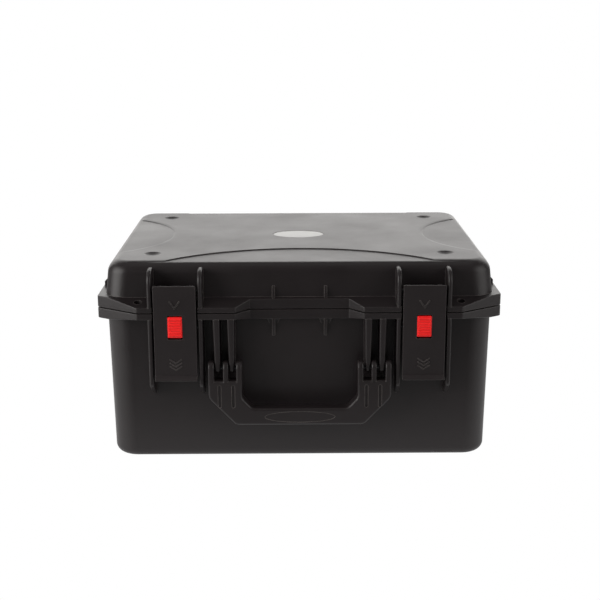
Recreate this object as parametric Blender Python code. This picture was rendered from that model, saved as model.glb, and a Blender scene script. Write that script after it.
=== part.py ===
"""Hard tool case with a lift-out tray: two moulded shells on a rear hinge, two press-and-pull
latches with red buttons, a fold-down handle and a tray inside. Metres, +Z up, front at -Y."""

from math import cos, hypot, pi, radians, sin, sqrt

import bmesh
import bpy
from mathutils import Matrix, Vector

MM = 0.001

# Overall sizes of the two shells, without flanges
CASE_WIDTH = 394 * MM
CASE_DEPTH = 294 * MM
BASE_HEIGHT = 161.5 * MM  # floor to the middle of the parting line
LID_HEIGHT = 47 * MM
WALL = 4 * MM
FLOOR = 5 * MM
CORNER_RADIUS = 25 * MM
BASE_DRAFT = 2.4 * MM  # how far each wall leans in over its height
LID_DRAFT = 4.4 * MM
LID_GROWTH = 1.5 * MM  # how far the lid's rim stands outside the base's
LID_CORNER_RADIUS = 22 * MM
BASE_EDGE = 9 * MM  # rounding of the lower edge
LID_EDGE = 12 * MM
PARTING_GAP = 0.8 * MM

# Fits
FIT = 0.3 * MM  # between pieces that touch
PIN_FIT = 0.35 * MM  # around a pin
SLIDE_FIT = 0.6 * MM  # between pieces that pass each other

# Flanges
LID_FLANGE = 12 * MM  # thickness at the walls
BASE_FLANGE = 11 * MM
SIDE_FLANGE_REACH = 8 * MM
CENTRE_REACH = 5 * MM  # flange in front of the wall, between the handle arms
LATCH_REACH = 21.5 * MM  # flange in front of the wall, at latches and handle
LID_SLOPE_DROP = 6.3 * MM  # the flange thins to its front edge
BASE_SLOPE_RISE = 4.5 * MM
CENTRE_HALF = 50 * MM
STEP_HALF = 64.3 * MM
WING_START = 162 * MM  # where the corner wings begin
WING_BACK = 7 * MM  # wings end this far behind the wall's line
REAR_CHAMFER = 16 * MM
NOTCH_REACH = 7 * MM  # flange left between a latch's ribs
PADLOCK_X = 162 * MM
PADLOCK_REACH = 10 * MM
PADLOCK_RADIUS = 4 * MM

# Seal
SEAL_WIDTH = 4 * MM
SEAL_HEIGHT = 3.9 * MM

# Latches: reach is in front of the front wall, height is above the parting line
LATCH_X = 124.2 * MM
LATCH_WIDTH = 42.4 * MM
LATCH_GAP = 1.6 * MM  # plate to rib
LATCH_RIB = 4.6 * MM
LATCH_RIB_DROP = 91 * MM
LATCH_RIB_TAPER = 15 * MM
LATCH_PIVOT = (11 * MM, 20 * MM)
LATCH_LUG_RADIUS = 6.5 * MM
LATCH_PIN_RADIUS = 2 * MM
PLATE_REACH = 23 * MM
PLATE_THICKNESS = 3 * MM
PLATE_TOP = 28.2 * MM
PLATE_BOTTOM = -64 * MM
LIP_DROP = 5 * MM
LIP_REACH = 3.5 * MM
CHEEK_OFFSET = 14 * MM  # from the latch's middle to a cheek's inner face
CHEEK_THICKNESS = 4 * MM
CHEEK_CLEARANCE = 2.5 * MM  # cheeks to the flange between the ribs
CHEEK_TOE = ((5 * MM, 3 * MM), (MM, 10 * MM))  # lower edge, behind and below the trigger pivot
CHEEK_WEB_END = (1.5 * MM, 2 * MM)  # behind the plate, above its lower end
CATCH_BAR = (10 * MM, -16 * MM)
CATCH_BAR_RADIUS = 2 * MM
CLAW_THICKNESS = 4.5 * MM
CLAW_OVERLAP = 3.6 * MM  # how far a claw reaches past the bar's middle

# Red trigger in the latch plate
TRIGGER_PIVOT = (16.8 * MM, -23.5 * MM)
TRIGGER_PIN_RADIUS = 1.25 * MM
TRIGGER_WIDTH = 14.4 * MM
TRIGGER_TOP = -3 * MM
TRIGGER_BOTTOM = -26 * MM
TRIGGER_PROUD = 1.4 * MM
TRIGGER_GAP = 0.4 * MM
TRIGGER_TOP_GAP = 1.3 * MM
TRIGGER_ARM_WIDTH = 10 * MM
TRIGGER_NOSE = 3 * MM
TRIGGER_BACK = 1.7 * MM  # back of the button, in front of its pivot
TRIGGER_EDGE = 1.5 * MM
TRIGGER_NECK = 2.8 * MM  # where the nose leaves the hub, behind the pivot
TRIGGER_ARM_TOP = (5 * MM, 4.3 * MM)  # above the pivot, at the button and at the pivot
TRIGGER_ARM_LOW = ((4 * MM, 2 * MM), (1.5 * MM, 3 * MM))  # behind and below the pivot
TRIGGER_ARM_END = 2.2 * MM  # below the pivot, at the button
SPRING_WIRE_RADIUS = 0.35 * MM
SPRING_TURNS = 3.5
SPRING_LEG = 9.5 * MM

# Handle
HANDLE_PIVOT = (17.5 * MM, -57.5 * MM)
HANDLE_THICKNESS = 15 * MM
HANDLE_PIN_RADIUS = 2 * MM
HANDLE_OUTER = 92.5 * MM  # half widths
HANDLE_INNER = 58.2 * MM
GRIP_OUTER = 65 * MM
GRIP_INNER = 48 * MM
PRONG_RANGES = ((86.2 * MM, 92.5 * MM), (72.0 * MM, 77.4 * MM), (58.2 * MM, 64.1 * MM))
NOTCH_FLOOR = -69.7 * MM
ARM_BEND = -88 * MM
GRIP_TOP = -99 * MM
GRIP_BOTTOM = -116.8 * MM
HANDLE_RIBS = ((79.9 * MM, 85.5 * MM, 0.0, 1.5 * MM), (66.1 * MM, 71.1 * MM, 1.0 * MM, 1.5 * MM))
HANDLE_RIB_END = 6 * MM  # radius of a rib's lower end around the pin

# Rear hinge
HINGE_REACH = 12.5 * MM  # axis behind the rear wall
HINGE_RADIUS = 6.5 * MM
HINGE_PIN_RADIUS = 2.5 * MM
HINGE_X = 110 * MM
KNUCKLE_PITCH = 12 * MM
KNUCKLES = 5
KNUCKLE_WEB = (2 * MM, 2.5 * MM)  # how far a web goes into the flange and past the knuckle

# Lid top
BADGE_HALF = (28 * MM, 19 * MM)
BADGE_RECESS = 1.2 * MM
BADGE_THICKNESS = 0.85 * MM
STACK_RADIUS = 9 * MM
STACK_DEPTH = 2.5 * MM
STACK_INSET = 45 * MM  # from the side and front walls
CONTOUR_STEP = 1.3 * MM
CONTOUR_FRONT = (69 * MM, 137 * MM)  # apex from the front wall, half chord
CONTOUR_SIDE = (57 * MM, 90 * MM)
CONTOUR_MARGIN = 10 * MM

# Gussets under and over the flanges
GUSSET = 3 * MM
GUSSET_X = 26.3 * MM
GUSSET_Y = 95 * MM
LID_GUSSET_RISE = 23 * MM
BASE_GUSSET_DROP = 29 * MM

# Tray
TRAY_HEIGHT = 38 * MM
TRAY_TOP_GAP = 3 * MM  # tray rim below the parting line
TRAY_CLEARANCE = 8 * MM  # to the base walls
TRAY_WALL = 2 * MM
TRAY_RIM = 2 * MM
TRAY_RIM_HEIGHT = 3 * MM
TRAY_DRAFT = 2 * MM
TRAY_SPINE = 4 * MM
TRAY_COLUMNS = 3  # pockets in front of the spine
TRAY_GUIDE = 3 * MM  # ribs that hold the spine's ends
TRAY_SLOT = (90 * MM, 15 * MM)
TRAY_SLOT_BAR = 8 * MM
POST_WIDTH = 20 * MM
POST_DEPTH = 22 * MM
POST_X = 150 * MM

ROUND_STEPS = 12  # sides of a pin or a pin hole
CORNER_STEPS = 6

SHADES = {
    "black_abs": ((0.020, 0.019, 0.019), 0.48, 0.0),
    "red_abs": ((0.9, 0.018, 0.018), 0.42, 0.0),
    "black_steel": ((0.045, 0.045, 0.048), 0.36, 1.0),
    "spring_steel": ((0.5, 0.5, 0.52), 0.30, 1.0),
    "rubber": ((0.012, 0.012, 0.012), 0.85, 0.0),
    "badge_grey": ((0.55, 0.55, 0.53), 0.35, 0.0),
    "tray_plastic": ((0.035, 0.036, 0.038), 0.55, 0.0),
}

HALF_X = CASE_WIDTH / 2
HALF_Y = CASE_DEPTH / 2
LID_TOP = BASE_HEIGHT + LID_HEIGHT
BASE_RIM = BASE_HEIGHT - PARTING_GAP / 2
LID_RIM = BASE_HEIGHT + PARTING_GAP / 2
FRONT_REACH = HALF_Y + max(PLATE_REACH + LIP_REACH, HANDLE_PIVOT[0] + HANDLE_THICKNESS / 2)
REAR_REACH = HALF_Y + HINGE_REACH + HINGE_RADIUS
MIDDLE_Y = (FRONT_REACH - REAR_REACH) / 2  # puts the origin under the middle of the whole case


def clear_scene():
    for item in list(bpy.data.objects):
        bpy.data.objects.remove(item, do_unlink=True)


def front(place):
    """(y, z) of a (reach in front of the wall, height above the parting line) pair."""
    reach, height = place
    return -HALF_Y - reach, BASE_HEIGHT + height


def new_object(name, bm):
    bmesh.ops.remove_doubles(bm, verts=bm.verts, dist=1e-7)
    bmesh.ops.recalc_face_normals(bm, faces=bm.faces)
    mesh = bpy.data.meshes.new(name)
    bm.to_mesh(mesh)
    bm.free()
    item = bpy.data.objects.new(name, mesh)
    bpy.context.scene.collection.objects.link(item)
    return item


def rounded_outline(half_x, half_y, radius, steps=CORNER_STEPS):
    """Points of a rectangle with round corners, anticlockwise from the right."""
    points = []
    for corner in range(4):
        sign_x = 1 if corner in (0, 3) else -1
        sign_y = 1 if corner in (0, 1) else -1
        for step in range(steps + 1):
            angle = (corner + step / steps) * pi / 2
            points.append((sign_x * (half_x - radius) + radius * cos(angle),
                           sign_y * (half_y - radius) + radius * sin(angle)))
    return points


def filleted(points, steps=4):
    """An outline whose points are (a, b) or (a, b, radius); a radius turns a corner into an arc."""
    outline = []
    for index, point in enumerate(points):
        here = Vector(point[:2])
        if len(point) < 3:
            outline.append(tuple(here))
            continue
        back = (Vector(points[index - 1][:2]) - here).normalized()
        ahead = (Vector(points[(index + 1) % len(points)][:2]) - here).normalized()
        half_angle = back.angle(ahead) / 2
        along = point[2] / (sin(half_angle) / cos(half_angle))
        centre = here + (back + ahead).normalized() * point[2] / sin(half_angle)
        start = here + back * along - centre
        turn = start.angle_signed(here + ahead * along - centre)
        for step in range(steps + 1):
            spoke = start.copy()
            spoke.rotate(Matrix.Rotation(-turn * step / steps, 2))
            outline.append(tuple(centre + spoke))
    return outline


def arc(centre, radius, start, end, steps):
    angles = [radians(start + (end - start) * step / steps) for step in range(steps + 1)]
    return [(centre[0] + radius * cos(angle), centre[1] + radius * sin(angle)) for angle in angles]


def loft(name, sections, closed=False):
    """A solid through sections of (half_x, half_y, radius, z); closed joins the last to the first."""
    bm = bmesh.new()
    rings = []
    for half_x, half_y, radius, z in sections:
        rings.append([bm.verts.new((x, y, z)) for x, y in rounded_outline(half_x, half_y, radius)])
    pairs = list(zip(rings, rings[1:]))
    if closed:
        pairs.append((rings[-1], rings[0]))
    else:
        bm.faces.new(rings[0])
        bm.faces.new(rings[-1])
    for low, high in pairs:
        for index in range(len(low)):
            after = (index + 1) % len(low)
            bm.faces.new((low[index], low[after], high[after], high[index]))
    return new_object(name, bm)


def prism(name, outline, axis, low, high):
    """An outline pushed along an axis. It is (y, z) for X, (x, z) for Y and (x, y) for Z."""
    slot = "XYZ".index(axis)
    bm = bmesh.new()
    verts = []
    for pair in outline:
        place = list(pair)
        place.insert(slot, low)
        verts.append(bm.verts.new(place))
    face = bm.faces.new(verts)
    push = Vector((0, 0, 0))
    push[slot] = high - low
    grown = bmesh.ops.extrude_face_region(bm, geom=[face])
    moved = [piece for piece in grown["geom"] if isinstance(piece, bmesh.types.BMVert)]
    bmesh.ops.translate(bm, verts=moved, vec=push)
    return new_object(name, bm)


def rod(name, centre, radius, axis, low, high, steps=ROUND_STEPS):
    return prism(name, arc(centre, radius, 0, 360 - 360 / steps, steps - 1), axis, low, high)


def box(name, low, high):
    outline = [(low[0], low[1]), (high[0], low[1]), (high[0], high[1]), (low[0], high[1])]
    return prism(name, outline, "Z", low[2], high[2])


def boolean(target, operation, tools):
    """Joins the tools to the target or cuts them from it, and removes them."""
    group = bpy.data.collections.new("tools")
    for tool in tools:
        group.objects.link(tool)
    modifier = target.modifiers.new(operation, "BOOLEAN")
    modifier.operation = operation
    modifier.operand_type = "COLLECTION"
    modifier.collection = group
    modifier.solver = "EXACT"
    graph = bpy.context.evaluated_depsgraph_get()
    graph.update()
    mesh = bpy.data.meshes.new_from_object(target.evaluated_get(graph))
    target.modifiers.clear()
    target.data = mesh
    for tool in tools:
        bpy.data.objects.remove(tool, do_unlink=True)
    bpy.data.collections.remove(group)


def slice_off(item, point, normal):
    """Cuts away what lies past a plane and closes the cut."""
    bm = bmesh.new()
    bm.from_mesh(item.data)
    everything = bm.verts[:] + bm.edges[:] + bm.faces[:]
    cut = bmesh.ops.bisect_plane(bm, geom=everything, dist=1e-7, plane_co=point, plane_no=normal,
                                 clear_outer=True)
    edges = [piece for piece in cut["geom_cut"] if isinstance(piece, bmesh.types.BMEdge)]
    bmesh.ops.holes_fill(bm, edges=edges, sides=0)
    bmesh.ops.recalc_face_normals(bm, faces=bm.faces)
    bm.to_mesh(item.data)
    bm.free()


def finish(item, slot, smooth=False):
    """Gives a piece its material."""
    material = bpy.data.materials.get(slot)
    if material is None:
        colour, roughness, metallic = SHADES[slot]
        material = bpy.data.materials.new(slot)
        material.use_nodes = True
        surface = material.node_tree.nodes["Principled BSDF"]
        surface.inputs["Base Color"].default_value = (*colour, 1)
        surface.inputs["Roughness"].default_value = roughness
        surface.inputs["Metallic"].default_value = metallic
    item.data.materials.clear()
    item.data.materials.append(material)
    if smooth and item.type == "MESH":
        item.data.shade_smooth()
        item.data.set_sharp_from_angle(angle=radians(35))
    return item


def axis_empty(name, place, parent):
    """An empty at a place given from the case's middle, under a parent empty."""
    empty = bpy.data.objects.new(name, None)
    bpy.context.scene.collection.objects.link(empty)
    empty.parent = parent
    empty["place"] = place
    above = Vector(parent["place"]) if parent else Vector((0, 0, 0))
    empty.location = Vector(place) - above
    return empty


def hang(item, empty):
    """Puts a piece made at the case's middle under an empty, with its origin on that empty."""
    item.data.transform(Matrix.Translation(-Vector(empty["place"])))
    item.parent = empty


def rounded_shell(name, draft, edge, z_rim, z_end, inset=0.0, thickness=0.0):
    """A block with leaning walls from its rim to its rounded end at z_end."""
    away = 1 if z_end > z_rim else -1
    radius = CORNER_RADIUS - inset
    if away > 0:
        inset -= LID_GROWTH
        radius += LID_CORNER_RADIUS - CORNER_RADIUS
    z_last = z_end - away * thickness
    sections = [(HALF_X - inset, HALF_Y - inset, radius, z_rim)]
    steps = 3
    for step in range(steps + 1):
        angle = pi / 2 * step / steps
        lean = draft + inset + edge * (1 - cos(angle))
        sections.append((HALF_X - lean, HALF_Y - lean, max(radius - edge * (1 - cos(angle)), edge / 2),
                         z_last - away * edge * (1 - sin(angle))))
    return loft(name, sections)


def flange_outline():
    """Plan of the flange that both shells share, anticlockwise from the front middle."""
    notch_half = LATCH_WIDTH / 2 + LATCH_GAP - FIT
    side = HALF_X + SIDE_FLANGE_REACH
    right = [
        (CENTRE_HALF, -HALF_Y - CENTRE_REACH),
        (STEP_HALF, -HALF_Y - LATCH_REACH),
        (LATCH_X - notch_half, -HALF_Y - LATCH_REACH),
        (LATCH_X - notch_half, -HALF_Y - NOTCH_REACH),
        (LATCH_X + notch_half, -HALF_Y - NOTCH_REACH),
        (LATCH_X + notch_half, -HALF_Y - LATCH_REACH),
        (WING_START, -HALF_Y - LATCH_REACH),
        (side, -HALF_Y + WING_BACK),
        (side, HALF_Y + CENTRE_REACH - REAR_CHAMFER),
        (side - REAR_CHAMFER, HALF_Y + CENTRE_REACH),
    ]
    return right + [(-x, y) for x, y in reversed(right)]


def flange(name, rim, edge, drop):
    """A flange slab from the shell's rim to its outer face, thinner towards its front edge."""
    slab = prism(name, flange_outline(), "Z", min(rim, edge), max(rim, edge))
    away = 1 if edge > rim else -1
    for side in (-1, 1):
        normal = Vector((0, side * drop, away * LATCH_REACH))
        slice_off(slab, (0, side * HALF_Y, edge), normal)
    return slab


def latch_rib_ranges():
    """Widths of the four ribs beside the latches."""
    inner = LATCH_WIDTH / 2 + LATCH_GAP
    ranges = []
    for side in (-1, 1):
        for hand in (-1, 1):
            near = side * LATCH_X + hand * inner
            far = near + hand * LATCH_RIB
            ranges.append((min(near, far), max(near, far)))
    return ranges


def wall_inside(height):
    """y inside the front wall, for what is joined to it, at a height above the parting line."""
    lean = LID_DRAFT * height / LID_HEIGHT if height > 0 else -BASE_DRAFT * height / BASE_HEIGHT
    return -HALF_Y + lean + WALL / 2


def knuckle(name, index, side):
    """One hinge knuckle with its web; even ones belong to the base and odd ones to the lid."""
    axis = (HALF_Y + HINGE_REACH, BASE_HEIGHT)
    down = -1 if index % 2 == 0 else 1
    outline = [(axis[0] + y, axis[1] - down * z) for y, z in arc((0, 0), HINGE_RADIUS, 180, -90, 12)]
    web_y = HALF_Y + CENTRE_REACH - KNUCKLE_WEB[0]
    outline += [(web_y, axis[1] + down * (HINGE_RADIUS + KNUCKLE_WEB[1])), (web_y, axis[1] + down * MM)]
    start = side * HINGE_X - KNUCKLES * KNUCKLE_PITCH / 2 + index * KNUCKLE_PITCH
    return prism(name, outline, "X", start + FIT, start + KNUCKLE_PITCH - FIT)


def knuckles(first):
    return [knuckle("knuckle", index, side) for side in (-1, 1) for index in range(first, KNUCKLES, 2)]


def hinge_holes():
    half = KNUCKLES * KNUCKLE_PITCH / 2 + MM
    axis = (HALF_Y + HINGE_REACH, BASE_HEIGHT)
    return [rod("hole", axis, HINGE_PIN_RADIUS + PIN_FIT, "X", side * HINGE_X - half, side * HINGE_X + half)
            for side in (-1, 1)]


def gussets(height, root):
    """Small triangular webs between the flange and the walls; height is their far end."""
    tools = []
    for side in (-1, 1):
        for face in (-1, 1):
            y_wall = face * (HALF_Y - WALL / 2 - MM)
            outline = [(y_wall, root), (face * (HALF_Y + CENTRE_REACH - MM), root), (y_wall, height)]
            tools.append(prism("gusset", outline, "X", side * GUSSET_X - GUSSET / 2,
                               side * GUSSET_X + GUSSET / 2))
            x_wall = side * (HALF_X - WALL / 2 - MM)
            outline = [(x_wall, root), (side * (HALF_X + SIDE_FLANGE_REACH - MM), root), (x_wall, height)]
            tools.append(prism("gusset", outline, "Y", face * GUSSET_Y - GUSSET / 2,
                               face * GUSSET_Y + GUSSET / 2))
    return tools


def padlock_holes(low, high):
    return [rod("hole", (side * PADLOCK_X, -HALF_Y - PADLOCK_REACH), PADLOCK_RADIUS, "Z", low, high)
            for side in (-1, 1)]


def handle_rib(inner, outer, inner_growth, outer_growth, side):
    """A base rib that carries the handle pin, wider towards the flange."""
    y_pin, z_pin = front(HANDLE_PIVOT)
    y_front = -HALF_Y - LATCH_REACH
    end = arc((y_front + HANDLE_RIB_END, z_pin), HANDLE_RIB_END, 180, 270, 4)
    z_top = BASE_HEIGHT - BASE_FLANGE / 2
    z_low = z_pin - HANDLE_RIB_END
    y_back = wall_inside(z_low - BASE_HEIGHT)
    outline = [(y_front - FIT / 3, z_top)] + [(y - FIT / 3, z) for y, z in end]
    outline += [(y_back, z_low), (y_back, z_top)]
    rib = prism("handle_rib", outline, "X", inner, outer)
    for vert in rib.data.vertices:
        share = (vert.co.z - z_low) / (z_top - z_low)
        vert.co.x += share * (outer_growth if vert.co.x > (inner + outer) / 2 else -inner_growth)
    if side < 0:
        mirror(rib)
    return rib


def mirror(item):
    """Flips a piece to the other side of the case."""
    item.data.transform(Matrix.Scale(-1, 4, (1, 0, 0)))
    item.data.flip_normals()


def base_latch_rib(low, high):
    y_front = -HALF_Y - LATCH_REACH - FIT / 3
    z_end = BASE_HEIGHT - LATCH_RIB_DROP
    y_back = wall_inside(-LATCH_RIB_DROP)
    z_top = BASE_HEIGHT - BASE_FLANGE / 2
    outline = filleted([(y_front, z_top), (y_front, z_end + LATCH_RIB_TAPER, 6 * MM),
                        (-HALF_Y, z_end), (y_back, z_end), (y_back, z_top)])
    return prism("latch_rib", outline, "X", low, high)


def lid_latch_rib(low, high):
    y_front = -HALF_Y - LATCH_REACH - FIT / 3
    z_top = LID_TOP - LID_EDGE / 3
    y_back = wall_inside(LID_HEIGHT / 2) + LID_DRAFT / 2
    z_low = BASE_HEIGHT + LID_FLANGE / 3
    outline = filleted([(y_front, z_low), (y_front, z_top, 13 * MM), (y_back - LID_EDGE / 2, z_top),
                        (y_back, z_top - LID_EDGE / 2), (y_back, z_low)])
    return prism("latch_rib", outline, "X", low, high)


def make_base():
    base = rounded_shell("base_shell", BASE_DRAFT, BASE_EDGE, BASE_HEIGHT - BASE_FLANGE / 2, 0)
    joined = [flange("flange", BASE_RIM, BASE_HEIGHT - BASE_FLANGE, BASE_SLOPE_RISE)]
    joined += [base_latch_rib(low, high) for low, high in latch_rib_ranges()]
    joined += [handle_rib(*sizes, side) for sizes in HANDLE_RIBS for side in (-1, 1)]
    joined += knuckles(0)
    joined += gussets(BASE_HEIGHT - BASE_GUSSET_DROP, BASE_HEIGHT - BASE_FLANGE + MM)
    boolean(base, "UNION", joined)
    cuts = [rounded_shell("cavity", BASE_DRAFT, BASE_EDGE - WALL / 2, BASE_HEIGHT + BASE_FLANGE, 0,
                          WALL, FLOOR)]
    cuts += padlock_holes(0.8 * BASE_HEIGHT, BASE_HEIGHT + BASE_FLANGE)
    cuts += hinge_holes()
    rib_half = LATCH_WIDTH / 2 + LATCH_GAP + LATCH_RIB + MM
    for side in (-1, 1):
        cuts.append(rod("hole", front(CATCH_BAR), CATCH_BAR_RADIUS + PIN_FIT, "X",
                        side * LATCH_X - rib_half, side * LATCH_X + rib_half))
        ends = sorted((side * (HANDLE_INNER - MM), side * (HANDLE_OUTER + MM)))
        cuts.append(rod("hole", front(HANDLE_PIVOT), HANDLE_PIN_RADIUS + PIN_FIT, "X", *ends))
    boolean(base, "DIFFERENCE", cuts)
    boolean(base, "UNION", tray_posts())
    return finish(base, "black_abs", True)


def make_lid():
    lid = rounded_shell("lid_shell", LID_DRAFT, LID_EDGE, BASE_HEIGHT + LID_FLANGE / 2, LID_TOP)
    joined = [flange("flange", LID_RIM, BASE_HEIGHT + LID_FLANGE, LID_SLOPE_DROP)]
    joined += [lid_latch_rib(low, high) for low, high in latch_rib_ranges()]
    joined += knuckles(1)
    joined += gussets(BASE_HEIGHT + LID_GUSSET_RISE, BASE_HEIGHT + LID_FLANGE - MM)
    boolean(lid, "UNION", joined)
    cuts = [rounded_shell("cavity", LID_DRAFT, LID_EDGE - WALL / 2, BASE_HEIGHT - LID_FLANGE, LID_TOP,
                          WALL + LID_GROWTH, WALL)]
    cuts += padlock_holes(BASE_HEIGHT - LID_FLANGE, LID_TOP - LID_EDGE)
    cuts += hinge_holes()
    rib_half = LATCH_WIDTH / 2 + LATCH_GAP + LATCH_RIB + MM
    for side in (-1, 1):
        cuts.append(rod("hole", front(LATCH_PIVOT), LATCH_PIN_RADIUS + PIN_FIT, "X",
                        side * LATCH_X - rib_half, side * LATCH_X + rib_half))
    cuts.append(seal_ring("groove", SEAL_WIDTH + 2 * PIN_FIT, LID_RIM - MM,
                          LID_RIM - PIN_FIT + SEAL_HEIGHT + FIT))
    cuts += lid_top_cuts()
    boolean(lid, "DIFFERENCE", cuts)
    return finish(lid, "black_abs", True)


def seal_ring(name, width, low, high):
    """A rectangular-section ring that follows the walls."""
    radius = LID_CORNER_RADIUS - LID_GROWTH
    sections = [(HALF_X + grow, HALF_Y + grow, radius + grow, z)
                for grow, z in ((width / 2, low), (width / 2, high), (-width / 2, high), (-width / 2, low))]
    return loft(name, sections, closed=True)


def oval(half_x, half_y, steps=32):
    return [(half_x * cos(2 * pi * step / steps), half_y * sin(2 * pi * step / steps))
            for step in range(steps)]


def lid_top_cuts():
    """Badge recess, stacking recesses and the curved areas that lie lower than the middle panel."""
    above = LID_TOP + CONTOUR_MARGIN
    tools = [prism("recess", oval(BADGE_HALF[0] + PIN_FIT, BADGE_HALF[1] + PIN_FIT), "Z",
                   LID_TOP - BADGE_RECESS, above)]
    for side in (-1, 1):
        for face in (-1, 1):
            place = (side * (HALF_X - STACK_INSET), face * (HALF_Y - STACK_INSET))
            tools.append(rod("stack", place, STACK_RADIUS, "Z", LID_TOP - STACK_DEPTH, above, 20))
    for axis, (apex, half_chord) in enumerate((CONTOUR_SIDE, CONTOUR_FRONT)):
        wall = (HALF_X, HALF_Y)[axis]
        sagitta = apex - CONTOUR_MARGIN
        radius = (half_chord ** 2 + sagitta ** 2) / (2 * sagitta)
        for side in (-1, 1):
            place = [0, 0]
            place[axis] = side * (wall - apex + radius)
            tools.append(rod("contour", place, radius, "Z", LID_TOP - CONTOUR_STEP, above, 96))
    return tools


def make_seal():
    low = LID_RIM - PIN_FIT
    return finish(seal_ring("lid_seal", SEAL_WIDTH, low, low + SEAL_HEIGHT), "rubber")


def make_badge():
    low = LID_TOP - BADGE_RECESS + FIT
    badge = prism("lid_badge", oval(*BADGE_HALF), "Z", low, low + BADGE_THICKNESS)
    return finish(badge, "badge_grey")


def pin(name, place, radius, low, high):
    return finish(rod(name, place, radius, "X", min(low, high), max(low, high)), "black_steel", True)


def claw_radii():
    """Inner and outer radius, about the latch pivot, of the slot that the catch bar runs in."""
    far = hypot(LATCH_PIVOT[0] - CATCH_BAR[0], LATCH_PIVOT[1] - CATCH_BAR[1])
    return far - CATCH_BAR_RADIUS - SLIDE_FIT, far + CATCH_BAR_RADIUS + FIT


def on_claw(radius, reach):
    """The point of a circle about the latch pivot, below it, at a reach in front of the wall."""
    across = LATCH_PIVOT[0] - reach
    return reach, LATCH_PIVOT[1] - sqrt(radius ** 2 - across ** 2)


def claw_arc(radius, start, end, steps=4):
    return [on_claw(radius, start + (end - start) * step / steps) for step in range(steps + 1)]


def cheek_outline():
    """Side view of a cheek: pivot lug, throat for the catch bar, claw, and a web that fades out."""
    inner, outer = claw_radii()
    back = NOTCH_REACH + CHEEK_CLEARANCE
    slot_end = CATCH_BAR[0] + CATCH_BAR_RADIUS + SLIDE_FIT
    tip = CATCH_BAR[0] - CLAW_OVERLAP
    into_plate = PLATE_REACH - PLATE_THICKNESS / 2
    tip_low = on_claw(outer + CLAW_THICKNESS, tip)
    outline = [(into_plate, LATCH_PIVOT[1] + LATCH_LUG_RADIUS)]
    outline += arc(LATCH_PIVOT, LATCH_LUG_RADIUS, 90, 215, 7)
    outline += [(back, LATCH_PIVOT[1] - 1.4 * LATCH_LUG_RADIUS)]
    outline += claw_arc(inner, back, slot_end, 2)
    outline += claw_arc(outer, slot_end, tip)
    outline.append(tip_low)
    outline += [(TRIGGER_PIVOT[0] - behind, TRIGGER_PIVOT[1] - below) for behind, below in CHEEK_TOE]
    outline.append((PLATE_REACH - PLATE_THICKNESS - CHEEK_WEB_END[0], PLATE_BOTTOM + CHEEK_WEB_END[1]))
    outline.append((into_plate, PLATE_BOTTOM))
    return [front(place) for place in outline]


def plate_outline():
    """Side view of a latch plate with its finger lip."""
    back = PLATE_REACH - PLATE_THICKNESS
    lip = PLATE_BOTTOM - LIP_DROP
    places = [(PLATE_REACH - MM, PLATE_TOP), (PLATE_REACH, PLATE_TOP - MM), (PLATE_REACH, PLATE_BOTTOM),
              (PLATE_REACH + LIP_REACH, lip + MM), (PLATE_REACH + LIP_REACH, lip),
              (PLATE_REACH - 0.5 * MM, lip), (back, PLATE_BOTTOM - 0.3 * LIP_DROP), (back, PLATE_TOP)]
    return [front(place) for place in places]


def make_lever(name, x):
    lever = prism(name, plate_outline(), "X", x - LATCH_WIDTH / 2, x + LATCH_WIDTH / 2)
    cheeks = []
    for hand in (-1, 1):
        ends = sorted((x + hand * CHEEK_OFFSET, x + hand * (CHEEK_OFFSET + CHEEK_THICKNESS)))
        cheeks.append(prism("cheek", cheek_outline(), "X", *ends))
    boolean(lever, "UNION", cheeks)
    y_plate, z_window = front((PLATE_REACH, TRIGGER_BOTTOM - TRIGGER_GAP))
    window = box("window", (x - TRIGGER_WIDTH / 2 - TRIGGER_GAP, y_plate - MM, z_window),
                 (x + TRIGGER_WIDTH / 2 + TRIGGER_GAP, y_plate + PLATE_THICKNESS + MM,
                  BASE_HEIGHT + TRIGGER_TOP + TRIGGER_TOP_GAP))
    half = CHEEK_OFFSET + CHEEK_THICKNESS + MM
    cuts = [window,
            rod("hole", front(LATCH_PIVOT), LATCH_PIN_RADIUS + PIN_FIT, "X", x - half, x + half),
            rod("hole", front(TRIGGER_PIVOT), TRIGGER_PIN_RADIUS + PIN_FIT, "X", x - half, x + half)]
    boolean(lever, "DIFFERENCE", cuts)
    return finish(lever, "black_abs")


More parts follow.
